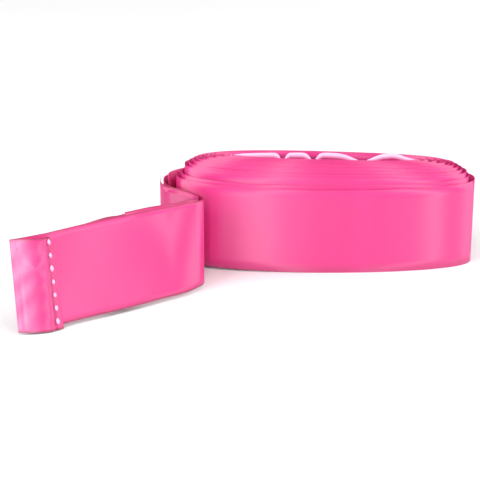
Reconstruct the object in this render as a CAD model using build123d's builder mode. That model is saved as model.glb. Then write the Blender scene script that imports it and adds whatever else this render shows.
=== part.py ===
"""Rhythmic gymnastics ribbon: a satin strip folded in half, wound on edge into a long flat
coil, with both hemmed ends led out at the left as a two-ply tail.

The strip is one continuous cloth. It is divided into nodes where it turns or bends: seven
double turns, the lobed fold in the middle, the S-bend, the two tail plies and their hems.
Millimetres, +Z up, standing on Z = 0, with the origin under the middle of the whole object.
"""

from build123d import *
from math import atan2, cos, exp, hypot, pi, radians, sin, sqrt
import os

os.makedirs("parts", exist_ok=True)

# ---- Driving dimensions -------------------------------------------------------------------
ribbon_width = 50.0          # selvedge to selvedge, which stands upright
ply_thickness = 0.3          # one ply of satin, as a simple solid
ply_gap = 1.2                # between the middles of two plies that lie together

# Coil, seen from above
coil_centre_x = 41.1
coil_centre_y = 37.0
turn_count = 7
coil_half_length = 85.9      # at the start of the outermost turn
end_pitch = 4.75             # how far each turn lies inside the last at the two ends
coil_half_depth = 18.6       # at the start of the outermost turn
oval_power = 2.3             # 2 is an ellipse, higher is squarer
end_bulge = 5.0              # how far the outermost turn stands off at the left end
bulge_turns = 0.25           # the share of the first turn that the bulge fades over

# How far the inner turns stand above the outer one
full_rise = 12.5
rise_start = 0.75            # in turns from the outer end
rise_fade = 1.3              # turns over which the rise levels off

# Fold in the middle of the coil: lobes along the core, parted by dips to the front
core_half_depth = 3.3        # to the fold's own middle, which the turns are wound round
lobe_shares = (0.28, 0.165, 0.265, 0.29)
dip_width = 4.5
core_clearance = 0.3         # between the fold and the innermost turn

# S-bend and tail: radii and turns of the outer ply's lower edge, from the coil's left end
shoulder_radius = 14.0
shoulder_turn = 54.0
shoulder_run = 17.6
bend_radius = 13.0
bend_turn = 89.0
sweep_radius = 40.0
sweep_turn = 25.0
tail_run = 69.0              # from the sweep to the front hem's main stitch row
hem_bend_radius = 8.0
hem_turn = 13.0              # how far the front hem turns back past that row
tail_lean = 14.0             # how far the tail's upper edge would lean back far from the bend
lean_length = 25.0           # the length over which that lean grows

# Hems
hem_stitch_depth = 22.5      # folded edge to the main stitch row
raw_margin = 3.5             # from the main stitch row on to the turned-in raw edge
edge_stitch_depth = 3.2      # folded edge to the light stitch row
open_bulge = 1.6             # how far the tunnel's free wall stands off its middle
closed_bulge = 0.3           # the same for the wall that faces the other ply
back_ply_short = 46.0        # how much shorter the back ply's tail is
stitch_pitch = 7.0
stitch_length = 3.4
stitch_radius = 0.45
stitch_end_margin = 5.0
edge_stitch_pitch = 4.0
edge_stitch_length = 2.4
edge_stitch_radius = 0.2

# Clearances at the flexing lines
bend_slot = 1.4              # gap in each ply at the bend's swing axis
peel_slot = 1.0              # gap where the back ply starts to peel off
hem_slot = 1.0               # gap between a hem and its ply
peel_start = 21.0            # from the bend's outermost point to the peel line
skin_gap = 0.1               # between a laid-on layer and the ply under it

# How finely the curved outlines are divided
points_per_turn = 32
core_points = 48
ply_step = 3.5               # between the points of a ply's outline
sleeve_points = 8

band_thickness = ply_gap + ply_thickness
core_inset = band_thickness + core_clearance
hem_depth = hem_stitch_depth + raw_margin
hem_arc = hem_bend_radius * radians(hem_turn)

# The turns share out the depth between the coil's outside and its core, from the outermost
# turn's start to the innermost one's front, a quarter turn before its end.
side_pitch = (coil_half_depth - core_inset - core_half_depth) / (turn_count - 0.25)


# ---- Plan of the coil ---------------------------------------------------------------------
def signed_power(value, power):
    """Raise the size of a value to a power and keep its sign."""
    return abs(value) ** power * (1 if value >= 0 else -1)


def spiral_point(turns, offset):
    """Plan point of the winding, counted in turns from the left end, moved out by offset."""
    angle = pi - 2 * pi * turns
    bulge = end_bulge * max(0.0, 1 - turns / bulge_turns) ** 2
    half_length = coil_half_length - end_pitch * turns + bulge + offset
    half_depth = coil_half_depth - side_pitch * turns + offset
    x = coil_centre_x + half_length * signed_power(cos(angle), 2 / oval_power)
    y = coil_centre_y + half_depth * signed_power(sin(angle), 2 / oval_power)
    return (x, y)


def rise(turns):
    """Height of the winding's lower edge, counted in turns from the left end."""
    return full_rise * (1 - exp(-max(0.0, turns - rise_start) / rise_fade))


# ---- Plan of the tail ---------------------------------------------------------------------
tail_start = (coil_centre_x - coil_half_length - end_bulge - ply_gap / 2, coil_centre_y)
tail_pieces = (
    (shoulder_radius, shoulder_turn),
    (None, shoulder_run),
    (bend_radius, -bend_turn),
    (sweep_radius, -sweep_turn),
    (None, tail_run),
    (hem_bend_radius, -hem_turn),
    (None, hem_stitch_depth - hem_arc),
)
shoulder_arc = shoulder_radius * radians(shoulder_turn)
swing_station = shoulder_arc + shoulder_run + bend_radius * radians(shoulder_turn)
tail_length = (
    shoulder_arc
    + shoulder_run
    + bend_radius * radians(bend_turn)
    + sweep_radius * radians(sweep_turn)
    + tail_run
    + hem_stitch_depth
)
peel_station = swing_station + peel_start
back_length = tail_length - back_ply_short
front_stitch_station = tail_length - hem_stitch_depth
back_stitch_station = back_length - hem_stitch_depth


def tail_frame(station):
    """Plan point and heading of the outer ply's lower edge at a distance along it."""
    x, y = tail_start
    heading = -pi / 2
    left = station
    for radius, amount in tail_pieces:
        if radius is None:
            run = min(left, amount)
            x += run * cos(heading)
            y += run * sin(heading)
        else:
            run = min(left, radius * abs(radians(amount)))
            turn = run / radius * (1 if amount > 0 else -1)
            chord = 2 * radius * sin(abs(turn) / 2)
            x += chord * cos(heading + turn / 2)
            y += chord * sin(heading + turn / 2)
            heading += turn
        left -= run
    return x, y, heading


def lean(station):
    """How far the upper edge of the tail stands back of its lower edge."""
    return tail_lean * (1 - exp(-max(0.0, station - swing_station) / lean_length))


def tail_point(station, inward, height):
    """Plan point on or beside the outer ply: inward is towards the inside of the bend."""
    x, y, heading = tail_frame(station)
    back = inward + lean(station) * height / ribbon_width
    return (x + back * sin(heading), y - back * cos(heading))


middle_lean = lean((swing_station + tail_length) / 2)
leaning_share = sqrt(1 - (middle_lean / ribbon_width) ** 2)


def upright(station, height):
    """Height above the floor of a point this far up the width: less past the swing axis."""
    return height * leaning_share if station > swing_station else height


def tail_axis(station):
    """Unit vector up the ribbon's width at a distance along the tail."""
    low = tail_point(station, 0, 0)
    high = tail_point(station, 0, ribbon_width)
    top = upright(station, ribbon_width)
    return Vector(high[0] - low[0], high[1] - low[1], top).normalized()


# ---- Turns of the coil --------------------------------------------------------------------
def export_turn(index):
    """Extrude one double turn of the winding at its own height."""
    stations = [index + step / points_per_turn for step in range(points_per_turn + 1)]
    outer = [spiral_point(turns, band_thickness / 2) for turns in stations]
    inner = [spiral_point(turns, -band_thickness / 2) for turns in reversed(stations)]
    with BuildPart() as turn:
        with BuildSketch(Plane.XY.offset(rise(index + 0.5))):
            with BuildLine():
                Spline(*outer)
                Line(outer[-1], inner[0])
                Spline(*inner)
                Line(inner[-1], outer[0])
            make_face()
        extrude(amount=ribbon_width)
    turn.part.label = f"turn_{index + 1}"
    export_step(turn.part, f"parts/turn_{index + 1}.step")


for turn_index in range(turn_count):
    export_turn(turn_index)

# ---- Fold in the middle of the coil --------------------------------------------------------
# The strip is doubled back on itself here, and its last stretch lies in the core in lobes.
core_half_length = coil_half_length - end_pitch * turn_count - core_inset


def core_line(share):
    """Plan point of the fold's middle line, from the core's left end to its right end."""
    across = 2 * share - 1
    envelope = core_half_depth * (1 - abs(across) ** oval_power) ** (1 / oval_power)
    dip = 0.0
    junction = 0.0
    for lobe in lobe_shares[:-1]:
        junction += lobe
        dip += exp(-(((share - junction) * 2 * core_half_length / dip_width) ** 2))
    return coil_centre_x + core_half_length * across, coil_centre_y + envelope * (1 - 2 * dip)


def core_offset(share, offset):
    """Plan point beside the fold's middle line."""
    reach = 1e-3
    before = core_line(max(0.0, share - reach))
    after = core_line(min(1.0, share + reach))
    heading = atan2(after[1] - before[1], after[0] - before[0])
    x, y = core_line(share)
    return (x - offset * sin(heading), y + offset * cos(heading))


core_shares = [step / core_points for step in range(core_points + 1)]
core_back = [core_offset(share, band_thickness / 2) for share in core_shares]
core_front = [core_offset(share, -band_thickness / 2) for share in reversed(core_shares)]

with BuildPart() as core_fold:
    with BuildSketch(Plane.XY.offset(rise(turn_count))):
        with BuildLine():
            Spline(*core_back)
            Line(core_back[-1], core_front[0])
            Spline(*core_front)
            Line(core_front[-1], core_back[0])
        make_face()
    extrude(amount=ribbon_width)

core_fold.part.label = "core_fold"
export_step(core_fold.part, "parts/core_fold.step")


# ---- Plies of the S-bend and the tail ------------------------------------------------------
def export_ply(name, start, end, inward):
    """Loft one ply between two distances along the tail, from its lower to its upper edge."""
    steps = max(2, round((end - start) / ply_step))
    stations = [start + (end - start) * step / steps for step in range(steps + 1)]
    with BuildPart() as ply:
        for height in (0.0, ribbon_width):
            front = [tail_point(at, inward - ply_thickness / 2, height) for at in stations]
            back = [tail_point(at, inward + ply_thickness / 2, height) for at in reversed(stations)]
            with BuildSketch(Plane.XY.offset(upright((start + end) / 2, height))):
                with BuildLine():
                    Spline(*front)
                    Line(front[-1], back[0])
                    Spline(*back)
                    Line(back[-1], front[0])
                make_face()
        loft(ruled=True)
    ply.part.label = name
    export_step(ply.part, f"parts/{name}.step")


swing_before = swing_station - bend_slot / 2
swing_after = swing_station + bend_slot / 2
peel_before = peel_station - peel_slot / 2
peel_after = peel_station + peel_slot / 2
front_ply_end = front_stitch_station - hem_slot / 2
back_ply_end = back_stitch_station - hem_slot / 2

export_ply("bend_outer_ply", 0.0, swing_before, 0.0)
export_ply("bend_inner_ply", 0.0, swing_before, ply_gap)
export_ply("front_tail_ply", swing_after, front_ply_end, 0.0)
export_ply("inner_bend_end", swing_after, peel_before, ply_gap)
export_ply("back_tail_ply", peel_after, back_ply_end, ply_gap)

# The raw edge of each hem is turned over and lies on its ply, past the stitch row.
flap_offset = ply_thickness + skin_gap
export_ply("front_hem_flap", tail_length - hem_depth, front_ply_end, -flap_offset)
export_ply("back_hem_flap", back_length - hem_depth, back_ply_end, ply_gap + flap_offset)


# ---- Hems: a flat tunnel between the folded edge and the stitch row ------------------------
def sleeve_outline(start, end, walls, height):
    """Plan points round a lens between two walls, over a stretch of the tail."""
    near = []
    far = []
    for step in range(sleeve_points + 1):
        share = step / sleeve_points
        station = start + (end - start) * share
        swell = sqrt(max(0.0, sin(pi * share)))
        near.append(tail_point(station, walls[0] - walls[1] * swell, height))
        far.append(tail_point(station, walls[2] + walls[3] * swell, height))
    return near + list(reversed(far))


def export_sleeve(name, start, end, inward, near_bulge, far_bulge):
    """Loft a tunnel: the lens of its outside, less the lens of its inside."""
    half = ply_thickness / 2
    outside = (inward - half, near_bulge, inward + half, far_bulge)
    thinner = (near_bulge - half, far_bulge - half)
    inside = (inward - half / 2, thinner[0], inward + half / 2, thinner[1])
    middle = (start + end) / 2
    rim = 2 * ply_thickness
    with BuildPart() as sleeve:
        for height in (0.0, ribbon_width):
            with BuildSketch(Plane.XY.offset(upright(middle, height))):
                with BuildLine():
                    Polyline(*sleeve_outline(start, end, outside, height), close=True)
                make_face()
        loft(ruled=True)
        for height in (0.0, ribbon_width):
            with BuildSketch(Plane.XY.offset(upright(middle, height))):
                with BuildLine():
                    Polyline(*sleeve_outline(start + rim, end - rim, inside, height), close=True)
                make_face()
        loft(ruled=True, mode=Mode.SUBTRACT)
    sleeve.part.label = name
    export_step(sleeve.part, f"parts/{name}.step")


front_sleeve_start = front_stitch_station + hem_slot / 2
back_sleeve_start = back_stitch_station + hem_slot / 2
export_sleeve("front_hem_sleeve", front_sleeve_start, tail_length, 0.0, open_bulge, closed_bulge)
export_sleeve("back_hem_sleeve", back_sleeve_start, back_length, ply_gap, closed_bulge, open_bulge)


# ---- Stitch rows ---------------------------------------------------------------------------
def export_stitches(name, station, inward, pitch, length, radius):
    """Lay a row of short thread stitches up the ribbon's width, on one side of a ply."""
    axis = tail_axis(station)
    count = int((ribbon_width - 2 * stitch_end_margin) / pitch) + 1
    first = (ribbon_width - (count - 1) * pitch) / 2
    with BuildPart() as stitches:
        for index in range(count):
            height = first + index * pitch
            x, y = tail_point(station, inward, height)
            with Locations(Plane(origin=(x, y, upright(station, height)), z_dir=axis)):
                Cylinder(radius=radius, height=length)
    stitches.part.label = name
    export_step(stitches.part, f"parts/{name}.step")


main_stitch = (stitch_pitch, stitch_length, stitch_radius)
edge_stitch = (edge_stitch_pitch, edge_stitch_length, edge_stitch_radius)
main_seat = flap_offset + ply_thickness / 2 + stitch_radius + skin_gap
edge_seat = ply_thickness / 2 + open_bulge + edge_stitch_radius + skin_gap
front_row = front_stitch_station - hem_slot
back_row = back_stitch_station - hem_slot

export_stitches("front_stitch_row", front_row, -main_seat, *main_stitch)
export_stitches("back_stitch_row", back_row, ply_gap + main_seat, *main_stitch)
export_stitches("front_edge_stitches", tail_length - edge_stitch_depth, -edge_seat, *edge_stitch)
export_stitches(
    "back_edge_stitches", back_length - edge_stitch_depth, ply_gap + edge_seat, *edge_stitch
)

# ---- Places that the record states ---------------------------------------------------------
turn_steps = [spiral_point(step / 200, 0) for step in range(200 * turn_count + 1)]
winding = sum(hypot(b[0] - a[0], b[1] - a[1]) for a, b in zip(turn_steps, turn_steps[1:]))
print("swing axis", tail_point(swing_station, ply_gap / 2, 0))
print("peel axis", tail_point(peel_station, ply_gap, 0), tail_axis(peel_station))
print("front hem axis", tail_point(front_stitch_station, 0, 0), tail_axis(front_stitch_station))
print("back hem axis", tail_point(back_stitch_station, ply_gap, 0), tail_axis(back_stitch_station))
print("tunnel", tail_point(tail_length - hem_stitch_depth / 2, 0, 0))
print("front of the outer turn", spiral_point(0.75, 0))
print("one ply: winding", winding, "front tail", tail_length, "back tail", back_length)
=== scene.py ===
"""A satin gymnastics ribbon: folded in half, wound on edge into a long flat coil, with its two
hemmed ends led out at the left as a two-ply tail. Metres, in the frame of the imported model."""
import logging
from dataclasses import dataclass, field
from enum import Enum
from functools import lru_cache
from math import ceil, cos, exp, pi, radians, sin, sqrt
from typing import Callable, Optional, Sequence, Union

import bpy
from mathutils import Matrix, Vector


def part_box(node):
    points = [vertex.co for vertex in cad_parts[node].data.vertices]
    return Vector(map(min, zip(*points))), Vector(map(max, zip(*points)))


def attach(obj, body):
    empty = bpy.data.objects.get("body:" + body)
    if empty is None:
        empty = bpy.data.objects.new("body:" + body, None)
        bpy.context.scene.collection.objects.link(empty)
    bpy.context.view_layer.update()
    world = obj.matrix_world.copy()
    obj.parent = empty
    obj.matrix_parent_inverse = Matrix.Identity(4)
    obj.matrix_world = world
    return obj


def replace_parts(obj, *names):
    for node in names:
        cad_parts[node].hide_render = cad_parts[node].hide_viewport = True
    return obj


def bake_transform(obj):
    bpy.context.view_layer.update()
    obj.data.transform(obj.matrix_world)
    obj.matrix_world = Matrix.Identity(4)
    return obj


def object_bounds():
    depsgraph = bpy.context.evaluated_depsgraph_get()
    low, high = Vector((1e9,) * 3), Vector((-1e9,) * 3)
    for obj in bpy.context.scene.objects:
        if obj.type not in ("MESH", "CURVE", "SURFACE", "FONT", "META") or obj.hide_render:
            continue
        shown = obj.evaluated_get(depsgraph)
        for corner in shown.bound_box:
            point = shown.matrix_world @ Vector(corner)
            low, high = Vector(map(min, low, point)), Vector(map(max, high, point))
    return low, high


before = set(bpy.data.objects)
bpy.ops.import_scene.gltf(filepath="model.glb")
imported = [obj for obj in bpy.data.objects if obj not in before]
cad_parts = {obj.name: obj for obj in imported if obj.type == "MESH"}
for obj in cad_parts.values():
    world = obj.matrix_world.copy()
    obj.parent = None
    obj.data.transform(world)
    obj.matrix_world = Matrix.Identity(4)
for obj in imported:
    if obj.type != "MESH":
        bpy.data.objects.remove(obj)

CAD_BOX = [list(corner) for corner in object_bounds()]
LOG = logging.getLogger("ribbon")
MM = 0.001
RIBBON_WIDTH = 50 * MM
CLOTH_THICKNESS = 0.22 * MM

PlanPoint = tuple[float, float]
Number = Union[float, "Value"]


# ---- Node trees ----
class Value:
    """A number socket: an expression on values adds the Math nodes that work it out."""

    def __init__(self, tree: bpy.types.NodeTree, socket: bpy.types.NodeSocket) -> None:
        """Wrap one output socket of a tree."""
        self.tree = tree
        self.socket = socket

    def math(self, operation: str, *operands: Number) -> "Value":
        """Add one Math node.

        Args:
            operation: the Math node's operation.
            operands: all of its inputs, in order.

        Returns:
            The node's result.
        """
        node = self.tree.nodes.new("ShaderNodeMath")
        node.operation = operation
        for entry, operand in zip(node.inputs, operands):
            if isinstance(operand, Value):
                self.tree.links.new(operand.socket, entry)
            else:
                entry.default_value = operand
        return Value(self.tree, node.outputs[0])

    def __add__(self, other: Number) -> "Value":
        """Return self + other."""
        return self.math("ADD", self, other)

    def __radd__(self, other: Number) -> "Value":
        """Return other + self."""
        return self.math("ADD", other, self)

    def __sub__(self, other: Number) -> "Value":
        """Return self - other."""
        return self.math("SUBTRACT", self, other)

    def __rsub__(self, other: Number) -> "Value":
        """Return other - self."""
        return self.math("SUBTRACT", other, self)

    def __mul__(self, other: Number) -> "Value":
        """Return self * other."""
        return self.math("MULTIPLY", self, other)

    def __rmul__(self, other: Number) -> "Value":
        """Return other * self."""
        return self.math("MULTIPLY", other, self)

    def __truediv__(self, other: Number) -> "Value":
        """Return self / other."""
        return self.math("DIVIDE", self, other)

    def __rtruediv__(self, other: Number) -> "Value":
        """Return other / self."""
        return self.math("DIVIDE", other, self)

    def __pow__(self, other: Number) -> "Value":
        """Return self ** other."""
        return self.math("POWER", self, other)

    def sine(self) -> "Value":
        """Return the sine of self, in radians."""
        return self.math("SINE", self)

    def cosine(self) -> "Value":
        """Return the cosine of self, in radians."""
        return self.math("COSINE", self)

    def size(self) -> "Value":
        """Return the absolute value."""
        return self.math("ABSOLUTE", self)

    def sign(self) -> "Value":
        """Return -1, 0 or 1."""
        return self.math("SIGN", self)

    def floor(self) -> "Value":
        """Return the whole number below."""
        return self.math("FLOOR", self)

    def exponential(self) -> "Value":
        """Return e to the power of self."""
        return self.math("EXPONENT", self)

    def at_least(self, low: Number) -> "Value":
        """Return the larger of self and low."""
        return self.math("MAXIMUM", self, low)

    def at_most(self, high: Number) -> "Value":
        """Return the smaller of self and high."""
        return self.math("MINIMUM", self, high)

    def signed_power(self, power: Number) -> "Value":
        """Raise the size of self to a power and keep its sign."""
        return (self.size() ** power) * self.sign()

    def bell(self, centre: Number, width: float) -> "Value":
        """Return a smooth hump of height 1 about a centre."""
        away = (self - centre) / width
        return (away * away * -1.0).exponential()


class Graph:
    """Builds one node tree: numbers by expressions, every other node by one method."""

    def __init__(self, tree: bpy.types.NodeTree) -> None:
        """Take an empty tree."""
        self.tree = tree

    def node(self, kind: str, settings: Optional[dict] = None, **sockets: object) -> bpy.types.Node:
        """Add any node.

        Args:
            kind: the node's type.
            settings: its own properties, set first.
            sockets: a value or a link for each named input, with _ for a space.

        Returns:
            The node.
        """
        node = self.tree.nodes.new(kind)
        for name, setting in (settings or {}).items():
            setattr(node, name, setting)
        for name, item in sockets.items():
            self.feed(node.inputs[name.replace("_", " ")], item)
        return node

    def feed(self, entry: bpy.types.NodeSocket, item: object) -> None:
        """Give an input its value or its link."""
        if isinstance(item, Value):
            item = item.socket
        if isinstance(item, bpy.types.NodeSocket):
            self.tree.links.new(item, entry)
        else:
            entry.default_value = item

    def value(self, node: bpy.types.Node, output: Union[int, str] = 0) -> Value:
        """Wrap one of a node's outputs for use in expressions."""
        return Value(self.tree, node.outputs[output])

    def mix(self, low: object, high: object, share: Value) -> bpy.types.NodeSocket:
        """Mix two colours.

        Args:
            low: the colour, or a link to it, where the share is 0.
            high: the same where the share is 1.
            share: how much of the second.

        Returns:
            The mixed colour.
        """
        node = self.node("ShaderNodeMix", {"data_type": "RGBA"}, Factor=share)
        self.feed(node.inputs[6], low)
        self.feed(node.inputs[7], high)
        return node.outputs[2]

    def surface(self, **sockets: object) -> None:
        """Add the one surface of a material and its output, with the surface's inputs."""
        surface = self.node("ShaderNodeBsdfPrincipled", **sockets)
        self.node("ShaderNodeOutputMaterial", Surface=surface.outputs["BSDF"])

    def deliver(self, mesh: bpy.types.NodeSocket, finish: bpy.types.NodeSocket) -> None:
        """Send a mesh out of a Geometry Nodes tree, smooth, real and in its finish."""
        smooth = self.node("GeometryNodeSetShadeSmooth", Geometry=mesh)
        real = self.node("GeometryNodeRealizeInstances", Geometry=smooth.outputs["Geometry"])
        dressed = self.node(
            "GeometryNodeSetMaterial", Geometry=real.outputs["Geometry"], Material=finish
        )
        self.node("NodeGroupOutput", Geometry=dressed.outputs["Geometry"])


def geometry_graph(name: str, **inputs: Sequence[str]) -> Graph:
    """Make an empty Geometry Nodes tree with its named inputs.

    Args:
        name: the tree's name.
        inputs: the names of its inputs, by kind of socket, besides its finish.

    Returns:
        The graph of the tree.
    """
    tree = bpy.data.node_groups.new(name, "GeometryNodeTree")
    for kind, entries in inputs.items():
        for entry in entries:
            tree.interface.new_socket(entry, in_out="INPUT", socket_type=f"NodeSocket{kind}")
    tree.interface.new_socket("Finish", in_out="INPUT", socket_type="NodeSocketMaterial")
    tree.interface.new_socket("Geometry", in_out="OUTPUT", socket_type="NodeSocketGeometry")
    return Graph(tree)


# ---- Finishes ----
def new_material(name: str) -> tuple[bpy.types.Material, Graph]:
    """Make an empty node material.

    Args:
        name: the material's name.

    Returns:
        The material and the graph of its tree.
    """
    material = bpy.data.materials.new(name)
    material.use_nodes = True
    material.node_tree.nodes.clear()
    return material, Graph(material.node_tree)


@dataclass(frozen=True)
class SatinFinish:
    """Warp-faced polyester satin: glossy floats along the ribbon, over a saturated ground.

    The pattern follows the piece's own UV map, which is in metres: U along the ribbon and V
    across it from the lower selvedge. A point attribute paints light: above 0 a painted highlight
    towards the pale back face, below 0 painted shade in the colour of the painted edge shade.
    """

    name: str = "satin"
    deep: tuple = (0.64, 0.015, 0.175, 1.0)
    light: tuple = (0.70, 0.034, 0.240, 1.0)
    # painted shade colour, for the band along the cloth's edges and for the hem's crease
    edge_and_crease_shade: tuple = (0.30, 0.004, 0.05, 1.0)
    reverse: tuple = (1.0, 0.62, 0.90, 1.0)
    roughness: float = 0.45
    sheen: float = 0.12
    ribbon_width: float = RIBBON_WIDTH
    yarn_pitch: float = 0.42 * MM
    float_length: float = 1.9 * MM

    def build(self) -> bpy.types.Material:
        """Make the material."""
        material, graph = new_material(self.name)
        uv = graph.node("ShaderNodeUVMap", {"uv_map": "UVMap"})
        split = graph.node("ShaderNodeSeparateXYZ", Vector=uv.outputs["UV"])
        along, across = graph.value(split, "X"), graph.value(split, "Y")
        # painted light: above 0 a painted highlight in the pale back face's colour, below 0 painted
        # shade
        pale = graph.value(
            graph.node("ShaderNodeAttribute", {"attribute_name": "reverse_and_painted_light"}), "Fac"
        )
        yarn = (across * (2 * pi / self.yarn_pitch)).sine()
        row = (across / self.yarn_pitch).floor()
        step = (row * 2.399).sine() * 0.5
        floats = ((along / self.float_length + step) * (2 * pi)).sine().at_least(0.2)
        streak = self.noise(graph, along * 45.0, across * 2600.0, 2.0)
        cloud = self.noise(graph, along * 26.0, across * 22.0, 3.0)
        edge = across.at_most(self.ribbon_width - across)
        selvedge = (
            edge.bell(0.9 * MM, 0.35 * MM) * 0.9
            + edge.bell(2.4 * MM, 0.3 * MM) * 0.45
            + edge.bell(4.2 * MM, 0.3 * MM) * 0.35
        )
        tone = (streak * 0.55 + cloud * 0.65 - selvedge * 0.3 - 0.1).at_least(0.0).at_most(1.0)
        # painted shade: a band along both edges of the cloth, where the plies meet in narrow gaps,
        # and the hem's crease where the attribute is below 0
        painted_shade = (edge.bell(0.0, 0.75 * MM) * 0.9 + (pale * -1.0).at_least(0.0)).at_most(1.0)
        ground = graph.mix(self.deep, self.light, tone)
        colour = graph.mix(graph.mix(ground, self.edge_and_crease_shade, painted_shade), self.reverse, pale.at_least(0.0))
        height = yarn * 0.25 + floats * 0.2 + streak * 0.5 + selvedge * -1.2
        bump = graph.node("ShaderNodeBump", Strength=0.35, Distance=0.05 * MM, Height=height)
        shine = self.roughness + streak * 0.10 - cloud * 0.06 + selvedge * 0.08
        shine = (shine + edge.bell(0.0, 0.6 * MM) * 0.4).at_most(0.9)
        graph.surface(
            Base_Color=colour,
            Roughness=shine,
            Normal=bump.outputs["Normal"],
            Sheen_Weight=self.sheen,
            Sheen_Roughness=0.4,
            Specular_IOR_Level=1.0,
            IOR=1.56,
            Anisotropic=1.0,
            Anisotropic_Rotation=0.25,
        )
        return material

    @staticmethod
    def noise(graph: Graph, along: Value, across: Value, detail: float) -> Value:
        """Add a noise over two scaled coordinates.

        Args:
            graph: the tree to add to.
            along: first coordinate.
            across: second coordinate.
            detail: octaves.

        Returns:
            The noise, about 0 to 1.
        """
        place = graph.node("ShaderNodeCombineXYZ", X=along, Y=across)
        texture = graph.node(
            "ShaderNodeTexNoise",
            {"noise_dimensions": "2D"},
            Vector=place.outputs["Vector"],
            Scale=1.0,
            Detail=detail,
        )
        return graph.value(texture, "Fac")


@dataclass(frozen=True)
class ThreadFinish:
    """Twisted polyester sewing thread."""

    name: str
    colour: tuple
    # painted shade in the grooves of the twist
    painted_shade: tuple
    roughness: float = 0.45
    twist_pitch: float = 0.5 * MM

    def build(self) -> bpy.types.Material:
        """Make the material."""
        material, graph = new_material(self.name)
        place = graph.node("ShaderNodeTexCoord")
        split = graph.node("ShaderNodeSeparateXYZ", Vector=place.outputs["Object"])
        x, y, z = (graph.value(split, axis) for axis in "XYZ")
        # the twist drives the bump and the painted shade: the colour goes darker where the bump is
        # low
        twist = ((x + y + z) * (2 * pi / self.twist_pitch)).sine() * 0.5 + 0.5
        bump = graph.node("ShaderNodeBump", Strength=0.5, Distance=0.05 * MM, Height=twist)
        graph.surface(
            Base_Color=graph.mix(self.painted_shade, self.colour, twist),
            Roughness=self.roughness,
            Normal=bump.outputs["Normal"],
            Sheen_Weight=0.2,
        )
        return material


@dataclass(frozen=True)
class FloorFinish:
    """Smooth white card."""

    name: str = "floor_card"
    tone: float = 0.86

    def build(self) -> bpy.types.Material:
        """Make the material."""
        material, graph = new_material(self.name)
        place = graph.node("ShaderNodeTexCoord")
        grain = graph.node("ShaderNodeTexNoise", Vector=place.outputs["Object"], Scale=90.0)
        shade = graph.value(grain, "Fac") * 0.04 + 0.78
        graph.surface(
            Base_Color=(self.tone, self.tone, self.tone, 1.0),
            Roughness=shade,
            Specular_IOR_Level=0.2,
        )
        return material


class Finish(Enum):
    """The finishes of the object, by the record's material slot."""

    SATIN = "satin"
    WHITE_THREAD = "white_thread"
    PINK_THREAD = "pink_thread"


class Finishes:
    """Builds each finish once and puts it on pieces."""

    def __init__(self) -> None:
        """Build every finish."""
        self.materials = {
            Finish.SATIN: SatinFinish().build(),
            # each thread's second colour is the painted shade in its twist's grooves
            Finish.WHITE_THREAD: ThreadFinish(
                "white_thread", (0.95, 0.62, 0.84, 1.0), (0.75, 0.30, 0.58, 1.0)
            ).build(),
            Finish.PINK_THREAD: ThreadFinish(
                "pink_thread", (0.78, 0.22, 0.56, 1.0), (0.46, 0.08, 0.30, 1.0)
            ).build(),
        }

    def dress(self, piece: bpy.types.Object, finish: Finish) -> None:
        """Give a piece its material.

        Args:
            piece: the piece to dress.
            finish: which finish it takes.
        """
        piece.data.materials.clear()
        piece.data.materials.append(self.materials[finish])

    def dress_sheet(self, piece: bpy.types.Object, width: float, length: float) -> None:
        """Give a piece of cloth its satin."""
        self.dress(piece, Finish.SATIN)


# ---- Cloth meshes ----
@dataclass
class Cloth:
    """A strip of cloth as a grid of points, with its own length and width as UV."""

    name: str
    points: list[list[Vector]]
    lengths: list[float]
    width: float
    # per point: above 0 a painted highlight towards the pale back face, below 0 painted shade
    reverse_and_painted_light: Optional[Callable[[int, int], float]] = None

    def build(self) -> bpy.types.Object:
        """Make the sheet with its real thickness.

        Returns:
            The mesh object, at the origin.
        """
        columns, rows = len(self.points), len(self.points[0])
        vertices = [point for column in self.points for point in column]
        faces = [
            (i * rows + j, (i + 1) * rows + j, (i + 1) * rows + j + 1, i * rows + j + 1)
            for i in range(columns - 1)
            for j in range(rows - 1)
        ]
        mesh = bpy.data.meshes.new(self.name)
        mesh.from_pydata(vertices, [], faces)
        layer = mesh.uv_layers.new(name="UVMap")
        for loop in mesh.loops:
            i, j = divmod(loop.vertex_index, rows)
            layer.data[loop.index].uv = (self.lengths[i], self.width * j / (rows - 1))
        reverse_and_light_layer = mesh.attributes.new("reverse_and_painted_light", "FLOAT", "POINT")
        if self.reverse_and_painted_light:
            for index in range(len(vertices)):
                reverse_and_light_layer.data[index].value = self.reverse_and_painted_light(*divmod(index, rows))
        mesh.polygons.foreach_set("use_smooth", [True] * len(mesh.polygons))
        piece = bpy.data.objects.new(self.name, mesh)
        bpy.context.scene.collection.objects.link(piece)
        thicken(piece, CLOTH_THICKNESS)
        return piece


def thicken(piece: bpy.types.Object, thickness: float) -> None:
    """Give a single-layer sheet its thickness, equally on both sides.

    Args:
        piece: the sheet.
        thickness: from face to face.
    """
    wall = piece.modifiers.new("thickness", "SOLIDIFY")
    wall.thickness = thickness
    wall.offset = 0.0
    wall.use_even_offset = False
    wall.use_quality_normals = True
    apply_modifiers(piece)


def apply_modifiers(piece: bpy.types.Object) -> None:
    """Turn what a piece's modifiers make into its own plain mesh."""
    graph = bpy.context.evaluated_depsgraph_get()
    graph.update()
    made = bpy.data.meshes.new_from_object(
        piece.evaluated_get(graph), preserve_all_data_layers=True, depsgraph=graph
    )
    piece.modifiers.clear()
    old = piece.data
    name = old.name
    piece.data = made
    bpy.data.meshes.remove(old)
    made.name = name


def smooth_step(value: float, start: float, end: float) -> float:
    """Rise smoothly from 0 at start to 1 at end."""
    share = min(1.0, max(0.0, (value - start) / (end - start)))
    return share * share * (3 - 2 * share)


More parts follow.
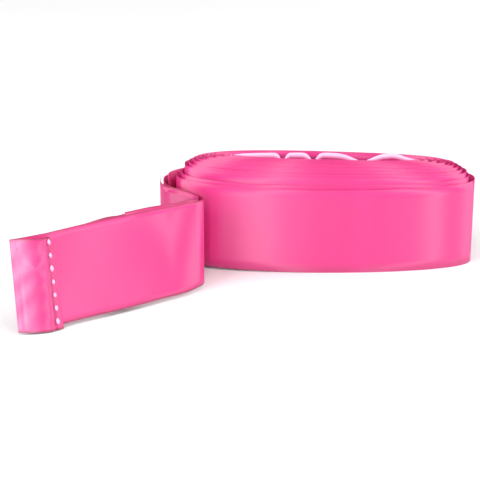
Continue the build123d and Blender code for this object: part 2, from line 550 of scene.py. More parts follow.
def bell(value: float, centre: float, width: float) -> float:
    """Return a smooth hump of height 1 about a centre."""
    return exp(-(((value - centre) / width) ** 2))


def run_lengths(points: Sequence[Vector]) -> list[float]:
    """Distances along a line of points, from its start."""
    lengths = [0.0]
    for before, after in zip(points, points[1:]):
        lengths.append(lengths[-1] + (after - before).length)
    return lengths


@lru_cache(maxsize=None)
def box_of(node: str) -> tuple[Vector, Vector]:
    """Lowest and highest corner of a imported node."""
    low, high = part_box(node)
    return Vector(low), Vector(high)


# ---- Sizes shared by the sub-assemblies ----
@dataclass
class RibbonSizes:
    """The cloth's own sizes, and the winding's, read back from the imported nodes."""

    width: float = RIBBON_WIDTH
    ply_gap: float = 1.2 * MM
    solid_ply: float = 0.3 * MM
    oval_power: float = 2.3
    end_bulge: float = 2.3 * MM
    bulge_turns: float = 0.25
    rise_start: float = 0.75
    rise_fade: float = 1.3
    tilt: float = 0.028
    turns: int = field(init=False)
    end_pitch: float = field(init=False)
    side_pitch: float = field(init=False)
    half_length: float = field(init=False)
    half_depth: float = field(init=False)
    centre: PlanPoint = field(init=False)
    full_rise: float = field(init=False)

    def __post_init__(self) -> None:
        """Work the winding's sizes out from the boxes of its second and third turns."""
        self.turns = sum(1 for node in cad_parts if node.startswith("turn_"))
        band = self.ply_gap + self.solid_ply
        low, high = box_of("turn_2")
        next_low, next_high = box_of("turn_3")
        self.end_pitch = ((high.x - low.x) - (next_high.x - next_low.x)) / 2
        self.side_pitch = ((high.y - low.y) - (next_high.y - next_low.y)) / 2
        self.half_length = ((high.x - low.x) - band) / 2 + self.end_pitch * 1.25
        self.half_depth = ((high.y - low.y) - band) / 2 + self.side_pitch * 1.5
        self.centre = (
            (low.x + high.x) / 2 + self.end_pitch / 4,
            (low.y + high.y) / 2 - self.side_pitch / 4,
        )
        top_turn = self.turns - 0.5 - self.rise_start
        self.full_rise = box_of(f"turn_{self.turns}")[0].z / (1 - exp(-top_turn / self.rise_fade))


# ---- Coil ----
class WindingTree:
    """The Geometry Nodes tree that winds one ply of ribbon into the flat coil."""

    NUMBERS = (
        "Turns", "Centre X", "Centre Y", "Half Length", "End Pitch", "Half Depth", "Side Pitch",
        "Oval Power", "End Bulge", "Bulge Turns", "Rise", "Rise Start", "Rise Fade", "Tilt",
        "Width", "Side", "Outside", "Gap", "End Gap", "Outer Gap", "Edge Step", "Back Drop",
        "Sway", "Phase",
    )
    COUNTS = ("Columns", "Rows")
    OVAL_SHARE = 0.66  # of a circle whose radius is the oval's two half sizes together

    def __init__(self) -> None:
        """Build the tree."""
        self.graph = geometry_graph("winding", Float=self.NUMBERS, Int=self.COUNTS)
        self.tree = self.graph.tree
        self.entry = self.graph.node("NodeGroupInput")
        self.build()

    def number(self, name: str) -> Value:
        """One of the tree's inputs, for use in expressions."""
        return self.graph.value(self.entry, name)

    def build(self) -> None:
        """Add the nodes: a grid, wound into place, with its lengths as UV."""
        graph = self.graph
        grid = graph.node("GeometryNodeMeshGrid", Size_X=1.0, Size_Y=1.0)
        self.tree.links.new(self.entry.outputs["Columns"], grid.inputs["Vertices X"])
        self.tree.links.new(self.entry.outputs["Rows"], grid.inputs["Vertices Y"])
        place = graph.node("GeometryNodeInputPosition")
        split = graph.node("ShaderNodeSeparateXYZ", Vector=place.outputs["Position"])
        turns = (graph.value(split, "X") + 0.5) * self.number("Turns")
        share = graph.value(split, "Y") + 0.5

        angle = pi - turns * (2 * pi)
        at_ends = angle.cosine().size() ** 8.0
        fade = (1.0 - turns / self.number("Bulge Turns")).at_least(0.0)
        phase = self.number("Phase")
        sway = (angle * 3.0 + phase).sine() * self.number("Sway")
        lip = (share - 0.5) * (angle * 5.0 + phase * 2.0).sine() * self.number("Sway")
        loose = turns.bell(0.6, 0.55) * self.number("Outer Gap")
        gap = self.number("Gap") + loose + at_ends * self.number("End Gap")
        inner_share = 0.5 - self.number("Side") * 0.5
        out = self.number("Outside") - inner_share * gap + sway + lip
        half_length = (
            self.number("Half Length")
            - self.number("End Pitch") * turns
            + self.number("End Bulge") * fade * fade
            + out
        )
        half_depth = self.number("Half Depth") - self.number("Side Pitch") * turns + out
        power = 2.0 / self.number("Oval Power").at_least(0.1)
        away_x = half_length * angle.cosine().signed_power(power)
        away_y = half_depth * angle.sine().signed_power(power)
        past = (turns - self.number("Rise Start")).at_least(0.0)
        climb = 1.0 - (past * -1.0 / self.number("Rise Fade")).exponential()
        inner_step = inner_share * self.number("Edge Step")
        settle = (turns * -0.4).exponential() + 0.35
        height = (
            climb * self.number("Rise")
            - climb * away_x * self.number("Tilt")
            - climb * away_y.at_least(0.0) * self.number("Back Drop")
            + inner_step * settle
            + share * self.number("Width")
        )
        target = graph.node(
            "ShaderNodeCombineXYZ",
            X=self.number("Centre X") + away_x,
            Y=self.number("Centre Y") + away_y,
            Z=height,
        )
        wound = graph.node(
            "GeometryNodeSetPosition",
            Geometry=grid.outputs["Mesh"],
            Position=target.outputs["Vector"],
        )
        half_sizes = self.number("Half Length") + self.number("Half Depth")
        around = 2.0 * pi * self.OVAL_SHARE * half_sizes
        shrink = pi * self.OVAL_SHARE * (self.number("End Pitch") + self.number("Side Pitch"))
        length = turns * around - turns * turns * shrink
        cloth = graph.node("ShaderNodeCombineXYZ", X=length, Y=share * self.number("Width"))
        stored = graph.node(
            "GeometryNodeStoreNamedAttribute",
            {"data_type": "FLOAT2", "domain": "CORNER"},
            Geometry=wound.outputs["Geometry"],
            Name="UVMap",
            Value=cloth.outputs["Vector"],
        )
        graph.deliver(stored.outputs["Geometry"], self.entry.outputs["Finish"])


def grow(
    name: str, tree: bpy.types.NodeTree, inputs: dict[str, object]
) -> bpy.types.Object:
    """Make a plain mesh object from a Geometry Nodes tree.

    Args:
        name: the new piece's name.
        tree: the tree that makes its mesh.
        inputs: a value for each named input of the tree.

    Returns:
        The mesh object, at the origin, with no modifier left on it.
    """
    piece = bpy.data.objects.new(name, bpy.data.meshes.new(name))
    bpy.context.scene.collection.objects.link(piece)
    maker = piece.modifiers.new("maker", "NODES")
    maker.node_group = tree
    names = {
        item.name: item.identifier
        for item in tree.interface.items_tree
        if item.item_type == "SOCKET" and item.in_out == "INPUT"
    }
    for key, setting in inputs.items():
        maker[names[key]] = setting
    apply_modifiers(piece)
    return piece


@dataclass
class Coil:
    """The wound part: two plies over seven turns, and the lobed fold in the core."""

    sizes: RibbonSizes
    finishes: Finishes
    columns_per_turn: int = 200
    rows: int = 9
    gap: float = 0.55 * MM
    end_gap: float = 1.8 * MM
    outer_gap: float = 1.0 * MM
    edge_step: float = 1.9 * MM
    back_drop: float = 0.09
    sway: float = 0.16 * MM
    lobe_shares: tuple = (0.28, 0.165, 0.265, 0.29)
    dip_widths: tuple = (1.9 * MM, 2.5 * MM, 8.0 * MM)
    lobe_rise: float = 1.0 * MM
    lobe_flare: float = 1.6 * MM
    dip_drop: float = 2.4 * MM
    end_drop: float = 3.0 * MM
    flare_start: float = 0.93
    envelope_power: float = 2.6
    core_gap: float = 0.7 * MM
    inner_lift: float = 0.5 * MM
    core_columns: int = 480
    core_rows: int = 31

    def build(self) -> None:
        """Make the two wound plies and the core."""
        tree = WindingTree().tree
        outer = self.ply("coil_outer_ply", tree, 1.0, 0.4)
        self.ply("coil_inner_ply", tree, -1.0, 2.3)
        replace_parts(outer, *(f"turn_{turn + 1}" for turn in range(self.sizes.turns)))
        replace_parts(self.core(), "core_fold")

    def ply(
        self, name: str, tree: bpy.types.NodeTree, side: float, phase: float
    ) -> bpy.types.Object:
        """Wind one ply.

        Args:
            name: the piece's name.
            tree: the winding tree.
            side: 1 for the outer ply, -1 for the inner.
            phase: where its slight waves start, in radians.

        Returns:
            The piece.
        """
        sizes = self.sizes
        columns = self.columns_per_turn * sizes.turns + 1
        piece = grow(
            name,
            tree,
            {
                "Turns": float(sizes.turns),
                "Centre X": sizes.centre[0],
                "Centre Y": sizes.centre[1],
                "Half Length": sizes.half_length,
                "End Pitch": sizes.end_pitch,
                "Half Depth": sizes.half_depth,
                "Side Pitch": sizes.side_pitch,
                "Oval Power": sizes.oval_power,
                "End Bulge": sizes.end_bulge,
                "Bulge Turns": sizes.bulge_turns,
                "Rise": sizes.full_rise,
                "Rise Start": sizes.rise_start,
                "Rise Fade": sizes.rise_fade,
                "Tilt": sizes.tilt,
                "Width": sizes.width,
                "Side": side,
                "Outside": sizes.ply_gap / 2,
                "Gap": self.gap,
                "End Gap": self.end_gap,
                "Outer Gap": self.outer_gap,
                "Edge Step": self.edge_step,
                "Back Drop": self.back_drop,
                "Sway": self.sway,
                "Phase": phase,
                "Columns": columns,
                "Rows": self.rows,
                "Finish": self.finishes.materials[Finish.SATIN],
            },
        )
        line = [vertex.co.copy() for vertex in piece.data.vertices][:: self.rows]
        if abs((line[1] - line[0]).z) > self.sizes.width / 2:
            line = [vertex.co.copy() for vertex in piece.data.vertices][:columns]
        length = run_lengths(line)[-1]
        thicken(piece, CLOTH_THICKNESS)
        self.finishes.dress_sheet(piece, sizes.width, length)
        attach(piece, "coil")
        LOG.info("%s: one ply, %.3f m long", name, length)
        return piece

    def core_line(self, share: float) -> PlanPoint:
        """Plan point of the fold in the core.

        Args:
            share: 0 at the core's left end to 1 at its right end.

        Returns:
            The point.
        """
        low, high = box_of("core_fold")
        middle = (low + high) / 2
        half_length = (high.x - low.x) / 2
        half_depth = (high.y - low.y) / 2 - self.sizes.ply_gap / 2
        across = 2 * share - 1
        power = self.envelope_power
        envelope = half_depth * max(0.0, 1 - abs(across) ** power) ** (1 / power)
        dip = self.dip(share, half_length)
        return (middle.x + half_length * across, middle.y + envelope * (1 - 2 * dip))

    def dip(self, share: float, half_length: float) -> float:
        """How far the fold dips towards the front between two lobes, from 0 to 1."""
        dip = 0.0
        junction = 0.0
        for lobe, dip_width in zip(self.lobe_shares, self.dip_widths):
            junction += lobe
            dip += exp(-(abs((share - junction) * 2 * half_length / dip_width) ** 1.7))
        return dip

    def core(self) -> bpy.types.Object:
        """Make the fold: out along the core in lobes, round its end and back.

        Returns:
            The piece.
        """
        width = self.sizes.width
        half = self.core_columns // 2
        low, high = box_of("core_fold")
        half_length = (high.x - low.x) / 2
        points = []
        for index in range(self.core_columns + 1):
            share = min(index, self.core_columns - index) / half
            side = 1 if index < half else -1
            lift = self.lobe_rise + (self.inner_lift if side < 0 else 0.0)
            lift -= self.dip_drop * self.dip(share, half_length)
            lift -= self.end_drop * smooth_step(share, 0.86, 1.0)
            column = []
            for row in range(self.core_rows):
                up = row / (self.core_rows - 1)
                flare = self.lobe_flare * max(0.0, (up - self.flare_start)) ** 1.6
                flare /= (1 - self.flare_start) ** 1.6
                x, y = self.core_line(min(0.999, max(0.001, share)))
                y += side * self.core_gap / 2 + flare * (0.4 + 0.6 * (side > 0))
                drop = 0.9 * flare * flare / self.lobe_flare
                column.append(Vector((x, y, low.z + up * width - drop * 0.3 + lift)))
            points.append(column)
        lengths = run_lengths([column[0] for column in points])

        def reverse_and_painted_light(column: int, row: int) -> float:
            """Paint a highlight on the flared lip of the lobes, in the colour of the cloth's pale
            back face.
            """
            return 0.85 * smooth_step(row / (self.core_rows - 1), 0.935, 0.965)

        piece = Cloth("core_fold_lobes", points, lengths, width, reverse_and_painted_light).build()
        self.finishes.dress_sheet(piece, width, lengths[-1])
        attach(piece, "coil")
        LOG.info("core fold: %.3f m of ribbon in %d lobes", lengths[-1], len(self.lobe_shares))
        return piece


# ---- Tail ----
@dataclass
class TailRoute:
    """The way of the outer ply's lower edge from the coil's left end to the front hem's fold."""

    sizes: RibbonSizes
    shoulder_radius: float = 14 * MM
    shoulder_turn: float = 54.0
    lead_run: float = 2 * MM
    shoulder_run: float = 14.3 * MM
    tucked: float = 2.7 * MM
    bend_radius: float = 13 * MM
    bend_turn: float = 89.0
    sweep_radius: float = 40 * MM
    sweep_turn: float = 25.0
    tail_run: float = 69 * MM
    hem_bend_radius: float = 8 * MM
    hem_turn: float = 13.0
    tail_lean: float = 14 * MM
    lean_length: float = 25 * MM
    back_ply_short: float = 46 * MM
    hem_depth: float = 23.9 * MM
    hem_stitch_depth: float = 22.5 * MM
    edge_stitch_depth: float = 3.2 * MM
    tail_lift: float = 2.5 * MM
    peel_start: float = 21 * MM
    start: PlanPoint = field(init=False)
    legs: tuple = field(init=False)
    swing: float = field(init=False)
    length: float = field(init=False)

    def __post_init__(self) -> None:
        """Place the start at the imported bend, and add the legs up."""
        low, high = box_of("bend_outer_ply")
        self.start = (low.x + self.sizes.solid_ply / 2 + self.tucked, high.y)
        self.legs = (
            (None, self.lead_run),
            (self.shoulder_radius, radians(self.shoulder_turn)),
            (None, self.shoulder_run),
            (self.bend_radius, -radians(self.bend_turn)),
            (self.sweep_radius, -radians(self.sweep_turn)),
            (None, self.tail_run),
            (self.hem_bend_radius, -radians(self.hem_turn)),
            (None, self.hem_stitch_depth - self.hem_bend_radius * radians(self.hem_turn)),
        )
        self.length = sum(
            amount if radius is None else radius * abs(amount) for radius, amount in self.legs
        )
        shoulder = radians(self.shoulder_turn)
        arcs = (self.shoulder_radius + self.bend_radius) * shoulder
        self.swing = self.lead_run + arcs + self.shoulder_run

    def at(self, station: float) -> tuple[float, float, float]:
        """Plan point and heading at a distance along the route.

        Args:
            station: distance from the coil's left end.

        Returns:
            X, Y and the heading in radians.
        """
        x, y = self.start
        heading = -pi / 2
        left = station
        for number, (radius, amount) in enumerate(self.legs):
            if radius is None:
                run = left if number == len(self.legs) - 1 else min(left, amount)
                x += run * cos(heading)
                y += run * sin(heading)
            else:
                run = min(left, radius * abs(amount))
                turn = run / radius * (1 if amount > 0 else -1)
                chord = 2 * radius * sin(abs(turn) / 2)
                x += chord * cos(heading + turn / 2)
                y += chord * sin(heading + turn / 2)
                heading += turn
            left -= run
            if left <= 0:
                break
        return x, y, heading

    def lean(self, station: float) -> float:
        """How far the upper edge stands back of the lower edge."""
        return self.tail_lean * (1 - exp(-max(0.0, station - self.swing) / self.lean_length))

    def lift(self, station: float) -> float:
        """How far the tail's lower edge hangs clear of the floor."""
        return self.tail_lift * smooth_step(station, self.swing - 12 * MM, self.swing + 12 * MM)

    def place(self, station: float, inward: float, height: float, lower: float = 0.0) -> Vector:
        """A point on or beside the ribbon.

        Args:
            station: distance from the coil's left end.
            inward: distance towards the inside of the bend, which is the tail's back.
            height: distance up the ribbon's leaning width.
            lower: how far below the tail's own lower edge the width starts.

        Returns:
            The point.
        """
        x, y, heading = self.at(station)
        lean = self.lean(station)
        up = height - lower
        back = inward + lean * up / self.sizes.width
        rise = sqrt(1 - (lean / self.sizes.width) ** 2)
        z = self.lift(station) + up * rise
        return Vector((x + back * sin(heading), y - back * cos(heading), z))

    def axis(self, station: float) -> Vector:
        """Unit vector up the ribbon's width."""
        return (self.place(station, 0, self.sizes.width) - self.place(station, 0, 0)).normalized()


@dataclass
class Tail:
    """The S-bend and the two plies that run out to the hems."""

    route: TailRoute
    finishes: Finishes
    rows: int = 15
    step: float = 1.2 * MM
    wave: float = 0.35 * MM
    pucker: float = 0.22 * MM
    start_gap: float = 1.9 * MM
    closing: float = 1.1 * MM
    bend_gap: float = 2.0 * MM
    peel_gap: float = 0.9 * MM
    ripple: float = 0.3 * MM
    inner_lift: float = 1.0 * MM
    bend_reach: float = 9 * MM
    peel_reach: float = 8 * MM

    def build(self) -> None:
        """Make the outer ply, the inner ply's bend and the back ply."""
        route = self.route
        stitch = route.length - route.hem_stitch_depth
        back_stitch = route.length - route.back_ply_short - route.hem_stitch_depth
        peel = route.swing + route.peel_start
        front = self.ply("front_ribbon_end", 0.0, stitch, self.front_offset)
        bend = self.ply("inner_ply_bend", 0.0, peel, self.back_offset)
        back = self.ply("back_ribbon_end", peel, back_stitch, self.back_offset)
        before = route.place(route.swing - self.bend_reach, 0, 0)
        after = route.place(route.swing + self.bend_reach, 0, 0)
        after.x = before.x
        for piece in (front, bend):
            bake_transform(piece)
        parted = route.place(peel + self.peel_reach, 0, 0)
        route.place(peel, 0, 0)
        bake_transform(back)
        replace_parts(front, "front_tail_ply", "bend_outer_ply")
        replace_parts(bend, "bend_inner_ply", "inner_bend_end")
        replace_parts(back, "back_tail_ply")

    def front_offset(self, station: float, up: float) -> float:
        """How far the outer ply lies inward of its route: soft waves in the tail."""
        reach = smooth_step(station, self.route.swing, self.route.swing + 30 * MM)
        stitch = self.route.length - self.route.hem_stitch_depth
        wave = self.wave * sin(station / (9 * MM) + 2.0 * up) * reach
        pucker = self.pucker * sin(up * self.route.sizes.width / (7 * MM) * 2 * pi)
        return wave + pucker * bell(station, stitch - 5 * MM, 3.5 * MM)

    def back_offset(self, station: float, up: float) -> float:
        """How far the inner ply lies inward of the route: wide in the bend, close beyond it."""
        route = self.route
        gap = self.start_gap - self.closing * smooth_step(station, 6 * MM, 24 * MM)
        gap += self.bend_gap * bell(station, route.swing, self.bend_reach)
        gap += self.peel_gap * smooth_step(station, route.swing + 15 * MM, route.swing + 40 * MM)
        ripple = self.ripple * sin(station / (7 * MM) + 1.0 + 3.0 * up)
        return gap + ripple * smooth_step(station, route.swing + 5 * MM, route.swing + 30 * MM)

    def ply(
        self, name: str, start: float, end: float, offset: Callable[[float, float], float]
    ) -> bpy.types.Object:
        """Make one ply between two distances along the route.

        Args:
            name: the piece's name.
            start: where it starts.
            end: where it ends.
            offset: how far inward it lies, by distance and share of the width.

        Returns:
            The piece.
        """
        route = self.route
        width = route.sizes.width
        columns = max(4, ceil((end - start) / self.step))
        stations = [start + (end - start) * index / columns for index in range(columns + 1)]
        raised = self.inner_lift if offset == self.back_offset else 0.0
        points = []
        for station in stations:
            column = []
            for row in range(self.rows):
                up = row / (self.rows - 1)
                lift = raised * smooth_step(station, 0, route.swing)
                point = route.place(station, offset(station, up), up * width)
                column.append(point + Vector((0, 0, lift)))
            points.append(column)
        piece = Cloth(name, points, stations, width).build()
        run = run_lengths([column[self.rows // 2] for column in points])[-1]
        self.finishes.dress_sheet(piece, width, run)
        LOG.info("%s: %.3f m long", name, run)
        return piece


# ---- Hems ----
class Facing(Enum):
    """Which side of the tail a hem's free wall and its stitches are on."""

    FRONT = -1
    BACK = 1


class StitchTree:
    """The Geometry Nodes tree that lays a row of thread stitches along a line."""

    def __init__(self) -> None:
        """Build the tree."""
        self.graph = geometry_graph(
            "stitch_row",
            Vector=("Start", "End", "Lean"),
            Float=("Length", "Radius", "Turn", "Unevenness"),
            Int=("Count", "Seed"),
        )
        self.tree = self.graph.tree
        self.build()

    def build(self) -> None:
        """Add the nodes: points on a line, with one rounded stitch on each."""
        graph = self.graph
        entry = graph.node("NodeGroupInput")
        outputs = entry.outputs
        line = graph.node(
            "GeometryNodeMeshLine",
            {"mode": "END_POINTS"},
            Count=outputs["Count"],
            Start_Location=outputs["Start"],
        )
        self.tree.links.new(outputs["End"], line.inputs["Offset"])
        ball = graph.node("GeometryNodeMeshUVSphere", Segments=12, Rings=9, Radius=1.0)
        place = graph.node("GeometryNodeInputPosition")
        split = graph.node("ShaderNodeSeparateXYZ", Vector=place.outputs["Position"])
        along = graph.value(split, "Z")
        blunt = 1.0 + (1.0 - along * along).at_least(0.0) * 0.25
        shape = graph.node(
            "ShaderNodeCombineXYZ",
            X=graph.value(split, "X") * blunt,
            Y=graph.value(split, "Y") * blunt,
            Z=along - (along * pi).sine() * 0.06,
        )
        stitch = graph.node(
            "GeometryNodeSetPosition",
            Geometry=ball.outputs["Mesh"],
            Position=shape.outputs["Vector"],
        )
        uneven = graph.node(
            "FunctionNodeRandomValue",
            {"data_type": "FLOAT"},
            Min=-1.0,
            Max=1.0,
            Seed=outputs["Seed"],
        )
        spread = graph.value(uneven, 1) * graph.value(entry, "Unevenness")
        scale = graph.node(
            "ShaderNodeCombineXYZ",
            X=graph.value(entry, "Radius") * (1.0 + spread * 0.5),
            Y=graph.value(entry, "Radius") * (1.0 - spread * 0.3),
            Z=graph.value(entry, "Length") * 0.5 * (1.0 + spread),
        )
        aim = graph.node(
            "FunctionNodeAlignRotationToVector", {"axis": "Z"}, Vector=outputs["Lean"]
        )
        laid = graph.node(
            "GeometryNodeInstanceOnPoints",
            Points=line.outputs["Mesh"],
            Instance=stitch.outputs["Geometry"],
            Rotation=aim.outputs["Rotation"],
            Scale=scale.outputs["Vector"],
        )
        slant = graph.node(
            "ShaderNodeCombineXYZ", X=graph.value(entry, "Turn") + spread * 0.3
        )
        turned = graph.node(
            "GeometryNodeRotateInstances",
            Instances=laid.outputs["Instances"],
            Rotation=slant.outputs["Vector"],
        )
        graph.deliver(turned.outputs["Instances"], outputs["Finish"])


@dataclass(frozen=True)
class StitchRow:
    """How one row of thread is sewn along a hem."""

    title: str
    finish: Finish
    pitch: float
    length: float
    radius: float
    margin: float
    seat: float
    low_shift: float
    high_shift: float
    turn: float
    unevenness: float
    seed: int


MAIN_ROW = StitchRow(
    "main_stitches", Finish.WHITE_THREAD, pitch=7.1 * MM, length=3.3 * MM, radius=0.72 * MM,
    margin=3.2 * MM, seat=0.75, low_shift=1.6 * MM, high_shift=0.5 * MM, turn=radians(9.0),
    unevenness=0.16, seed=7,
)
EDGE_ROW = StitchRow(
    "edge_stitches_thread", Finish.PINK_THREAD, pitch=3.9 * MM, length=2.9 * MM,
    radius=0.2 * MM, margin=4.0 * MM, seat=0.35, low_shift=1.2 * MM, high_shift=0.0, turn=0.0,
    unevenness=0.12, seed=11,
)


@dataclass
class Hem:
    """A turned and stitched end: a flat tunnel, its raw edge and two rows of stitches."""

    route: TailRoute
    finishes: Finishes
    stitch_tree: bpy.types.NodeTree
    facing: Facing
    end: float
    tail_body: str
    hem_body: str
    rest: Callable[[float, float], float]
    rows: int = 29
    open_bulge: float = 2.1 * MM
    closed_bulge: float = 0.35 * MM
    skin: float = 0.3 * MM
    fold_drop: float = 1.1 * MM
    raw_drop: float = 2.1 * MM
    stitch_raise: float = 1.2 * MM
    seam_reach: float = 1.2 * MM
    # painted highlight near the hem's fold, towards the pale back face
    fold_reverse_and_highlight: float = 0.26
    crease: float = 2.9 * MM
    crease_shade: float = 0.45
    pinch: float = 0.45 * MM
    groove: float = 0.8 * MM
    dimple: float = 0.16 * MM
    lip: float = 0.35 * MM

    def build(self) -> None:
        """Make the hem's cloth and its two stitch rows."""
        side = self.hem_body.split("_")[0]
        cloth = self.cloth(f"{side}_hem_cloth")
        main = self.stitches(side, MAIN_ROW, self.route.hem_stitch_depth, self.stitch_raise)
        edge = self.stitches(side, EDGE_ROW, self.route.edge_stitch_depth, 0.0)
        stitch = self.end - self.route.hem_stitch_depth
        before = self.route.place(stitch - self.seam_reach, 0, 0)
        after = self.route.place(stitch + self.seam_reach, 0, 0)
        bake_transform(cloth)
        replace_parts(cloth, f"{side}_hem_sleeve", f"{side}_hem_flap")
        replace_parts(main, f"{side}_stitch_row")
        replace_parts(edge, f"{side}_edge_stitches")
        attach(main, self.tail_body)
        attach(edge, self.hem_body)
        LOG.info("%s hem: tunnel, raw edge and two stitch rows", side)

    def wall(self, station: float, up: float, free: bool) -> float:
        """How far a wall of the hem lies inward of the route.

        Args:
            station: distance along the route.
            up: share of the width.
            free: the turned-over wall, not the ply itself.

        Returns:
            The distance.
        """
        stitch = self.end - self.route.hem_stitch_depth
        share = min(1.0, max(0.0, (station - stitch) / (self.end - stitch)))
        rise = sin(pi * share**0.8) ** 0.9 if 0 < share < 1 else 0.0
        base = self.rest(min(station, stitch), up)
        ripple = 1 + 0.14 * sin(up * 11.0 + 1.3) + 0.08 * sin(up * 31.0 + station / (3 * MM))
        if not free:
            return base + self.facing.value * self.closed_bulge * rise * 0.5
        seat = self.end - self.route.edge_stitch_depth
        pinch = self.pinch * bell(station, seat, 0.9 * MM)
        groove = self.groove * bell(station, stitch + self.crease, 1.1 * MM)
        dimple = self.dimple * cos(up * self.route.sizes.width / MAIN_ROW.pitch * 2 * pi)
        near_stitch = bell(station, stitch, 2.2 * MM)
        lip = self.lip * smooth_step(stitch - station, 2.0 * MM, 3.5 * MM)
        edge_gap = self.skin * (1 - share) + 0.1 * MM
        out = edge_gap + self.open_bulge * rise * ripple + dimple * near_stitch + lip
        out = max(0.5 * edge_gap, out - pinch * rise - groove)
        return base + self.facing.value * out

    def drop(self, station: float, free: bool) -> float:
        """How far the hem hangs below the tail's own edges."""
        stitch = self.end - self.route.hem_stitch_depth
        if not free:
            return self.fold_drop * smooth_step(station, stitch, self.end)
        share = (self.end - station) / self.route.hem_depth
        return self.fold_drop + (self.raw_drop - self.fold_drop) * share

    def cloth(self, name: str) -> bpy.types.Object:
        """Make the cloth: along the ply to the fold, round it and back to the raw edge.

        Args:
            name: the piece's name.

        Returns:
            The piece.
        """
        route = self.route
        stitch = self.end - route.hem_stitch_depth
        raw = self.end - route.hem_depth
        inner_steps, outer_steps, fold_steps = 26, 34, 6
        legs = []
        for index in range(inner_steps):
            legs.append((stitch + (self.end - stitch) * index / inner_steps, False, 0.0))
        for index in range(fold_steps + 1):
            legs.append((self.end, None, index / fold_steps))
        for index in range(1, outer_steps + 1):
            legs.append((self.end - (self.end - raw) * index / outer_steps, True, 1.0))
        width = route.sizes.width
        points = []
        for station, free, turn in legs:
            column = []
            for row in range(self.rows):
                up = row / (self.rows - 1)
                if free is None:
                    near = self.wall(self.end, up, False)
                    far = self.wall(self.end, up, True)
                    inward = near + (far - near) * (1 - cos(pi * turn)) / 2
                    reach = 0.25 * MM * sin(pi * turn)
                else:
                    inward = self.wall(station, up, free)
                    reach = 0.0
                drop = self.drop(station, free is not False)
                column.append(route.place(station + reach, inward, up * width, drop))
            points.append(column)
        lengths = run_lengths([column[self.rows // 2] for column in points])

        def reverse_and_painted_light(column: int, row: int) -> float:
            """Paint a highlight on the free wall by its fold, and shade in the crease by its
            stitches.
            """
            station, free, _ = legs[column]
            up = row / (self.rows - 1)
            near_fold = smooth_step(station, self.end - 14 * MM, self.end - 5 * MM)
            # uneven strength of the painted highlight by the fold
            highlight_ripple = 0.75 + 0.25 * sin(up * 23.0 + station / (2.1 * MM))
            # painted shade in the crease beside the stitches
            crease = self.crease_shade * bell(station, stitch + self.crease, 1.0 * MM)
            return 0.0 if free is False else self.fold_reverse_and_highlight * near_fold * highlight_ripple - crease

        piece = Cloth(name, points, lengths, width, reverse_and_painted_light).build()
        self.finishes.dress_sheet(piece, width, lengths[-1])
        return piece

    def stitches(self, side: str, row: StitchRow, depth: float, raised: float) -> bpy.types.Object:
        """Lay one stitch row.

        Args:
            side: front or back, for the piece's name.
            row: how it is sewn.
            depth: how far it lies from the hem's fold.
            raised: how far it is moved up the width.

        Returns:
            The piece.
        """
        route = self.route
        station = self.end - depth
        width = route.sizes.width
        count = int((width - 2 * row.margin) / row.pitch) + 1
        first = (width - (count - 1) * row.pitch) / 2
        seat = self.facing.value * row.seat * row.radius

        def spot(height: float, shift: float) -> Vector:
            """A point on the free wall at a height."""
            inward = self.wall(station + shift, height / width, True) + seat
            return route.place(station + shift, inward, height, self.drop(station + shift, True))

        piece = grow(
            f"{side}_{row.title}",
            self.stitch_tree,
            {
                "Start": spot(first + raised, row.low_shift),
                "End": spot(width - first + raised, row.high_shift),
                "Lean": route.axis(station),
                "Length": row.length,
                "Radius": row.radius,
                "Turn": row.turn,
                "Unevenness": row.unevenness,
                "Count": count,
                "Seed": row.seed,
                "Finish": self.finishes.materials[row.finish],
            },
        )
        self.finishes.dress(piece, row.finish)
        return piece


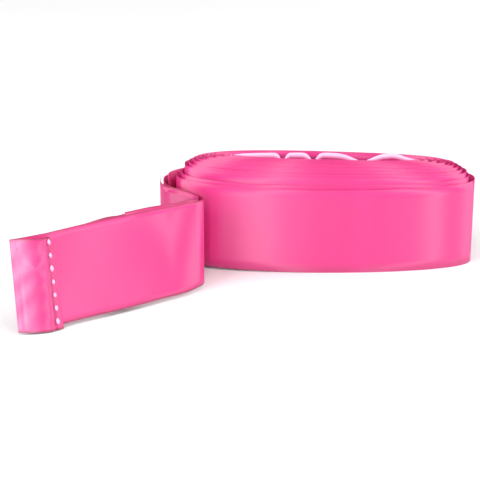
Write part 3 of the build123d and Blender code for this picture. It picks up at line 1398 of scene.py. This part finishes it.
# ---- Stage ----
@dataclass
class Stage:
    """The floor, the soft light and the camera."""

    reach: float = 6.0
    elevation: float = 25.0
    distance: float = 1.1007
    lens: float = 151.9
    aim_shift: tuple = (-5.2 * MM, -1.5 * MM, -1.4 * MM)
    lamp_distance: float = 1.6
    surround: float = 0.12

    def build(self) -> None:
        """Make everything that isn't part of the object."""
        self.floor()
        self.lights()
        self.camera()

    def floor(self) -> None:
        """Lay a wide pale floor."""
        mesh = bpy.data.meshes.new("floor")
        r = self.reach
        mesh.from_pydata([(-r, -r, 0), (r, -r, 0), (r, r, 0), (-r, r, 0)], [], [(0, 1, 2, 3)])
        floor = bpy.data.objects.new("floor", mesh)
        bpy.context.scene.collection.objects.link(floor)
        mesh.materials.append(FloorFinish().build())

    def lamp(self, name: str, turn: float, lift: float, size: PlanPoint, power: float) -> None:
        """Hang one soft box that faces the object.

        Args:
            name: the lamp's name.
            turn: its bearing in degrees, from the front towards the right.
            lift: its height above the horizon in degrees.
            size: its width and height.
            power: in watts.
        """
        data = bpy.data.lights.new(name, "AREA")
        data.shape = "RECTANGLE"
        data.size, data.size_y = size
        data.energy = power
        lamp = bpy.data.objects.new(name, data)
        bpy.context.scene.collection.objects.link(lamp)
        bearing, rise = radians(turn), radians(lift)
        way = Vector((sin(bearing) * cos(rise), -cos(bearing) * cos(rise), sin(rise)))
        lamp.location = way * self.lamp_distance
        lamp.rotation_euler = way.to_track_quat("Z", "Y").to_euler()

    def lights(self) -> None:
        """Set a dim surround, a wide soft sun overhead and boxes round the front."""
        world = bpy.data.worlds.new("surround")
        world.use_nodes = True
        back = world.node_tree.nodes["Background"]
        back.inputs["Color"].default_value = (1.0, 1.0, 1.0, 1.0)
        back.inputs["Strength"].default_value = self.surround
        bpy.context.scene.world = world
        self.lamp("key", -62.0, 36.0, (1.0, 1.1), 22.0)
        self.lamp("front_left", -9.0, 18.0, (0.12, 0.9), 7.0)
        self.lamp("front_right", 33.0, 18.0, (0.12, 0.9), 6.0)
        self.lamp("right", 88.0, 34.0, (1.3, 1.3), 20.0)
        sun = bpy.data.lights.new("overhead", "SUN")
        sun.energy = 1.15
        sun.angle = radians(60.0)
        ceiling = bpy.data.objects.new("overhead", sun)
        bpy.context.scene.collection.objects.link(ceiling)
        bpy.context.scene.view_settings.view_transform = "Standard"

    def camera(self) -> None:
        """Stand the camera in front of the coil, looking down at it a little."""
        low, high = (Vector(corner) for corner in CAD_BOX)
        aim = (low + high) / 2 + Vector(self.aim_shift)
        lift = radians(self.elevation)
        back = Vector((0.0, -cos(lift), sin(lift)))
        data = bpy.data.cameras.new("camera")
        data.lens = self.lens
        data.clip_start, data.clip_end = 0.05, 20.0
        camera = bpy.data.objects.new("camera", data)
        bpy.context.scene.collection.objects.link(camera)
        camera.location = aim + back * self.distance
        camera.rotation_euler = (back * -1).to_track_quat("-Z", "Y").to_euler()
        bpy.context.scene.camera = camera


def main() -> None:
    """Build the ribbon, its threads and its stage."""
    logging.basicConfig(level=logging.INFO, format="%(name)s: %(message)s")
    sizes = RibbonSizes()
    finishes = Finishes()
    Coil(sizes, finishes).build()
    route = TailRoute(sizes)
    tail = Tail(route, finishes)
    tail.build()
    stitch_tree = StitchTree().tree
    Hem(
        route, finishes, stitch_tree, Facing.FRONT, route.length, "front_tail", "front_hem",
        tail.front_offset,
    ).build()
    Hem(
        route, finishes, stitch_tree, Facing.BACK, route.length - route.back_ply_short,
        "back_tail", "back_hem", tail.back_offset, fold_drop=0.5 * MM, raw_drop=0.8 * MM,
        stitch_raise=3.2 * MM,
    ).build()
    Stage().build()
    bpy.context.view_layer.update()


if __name__ == "__main__":
    main()
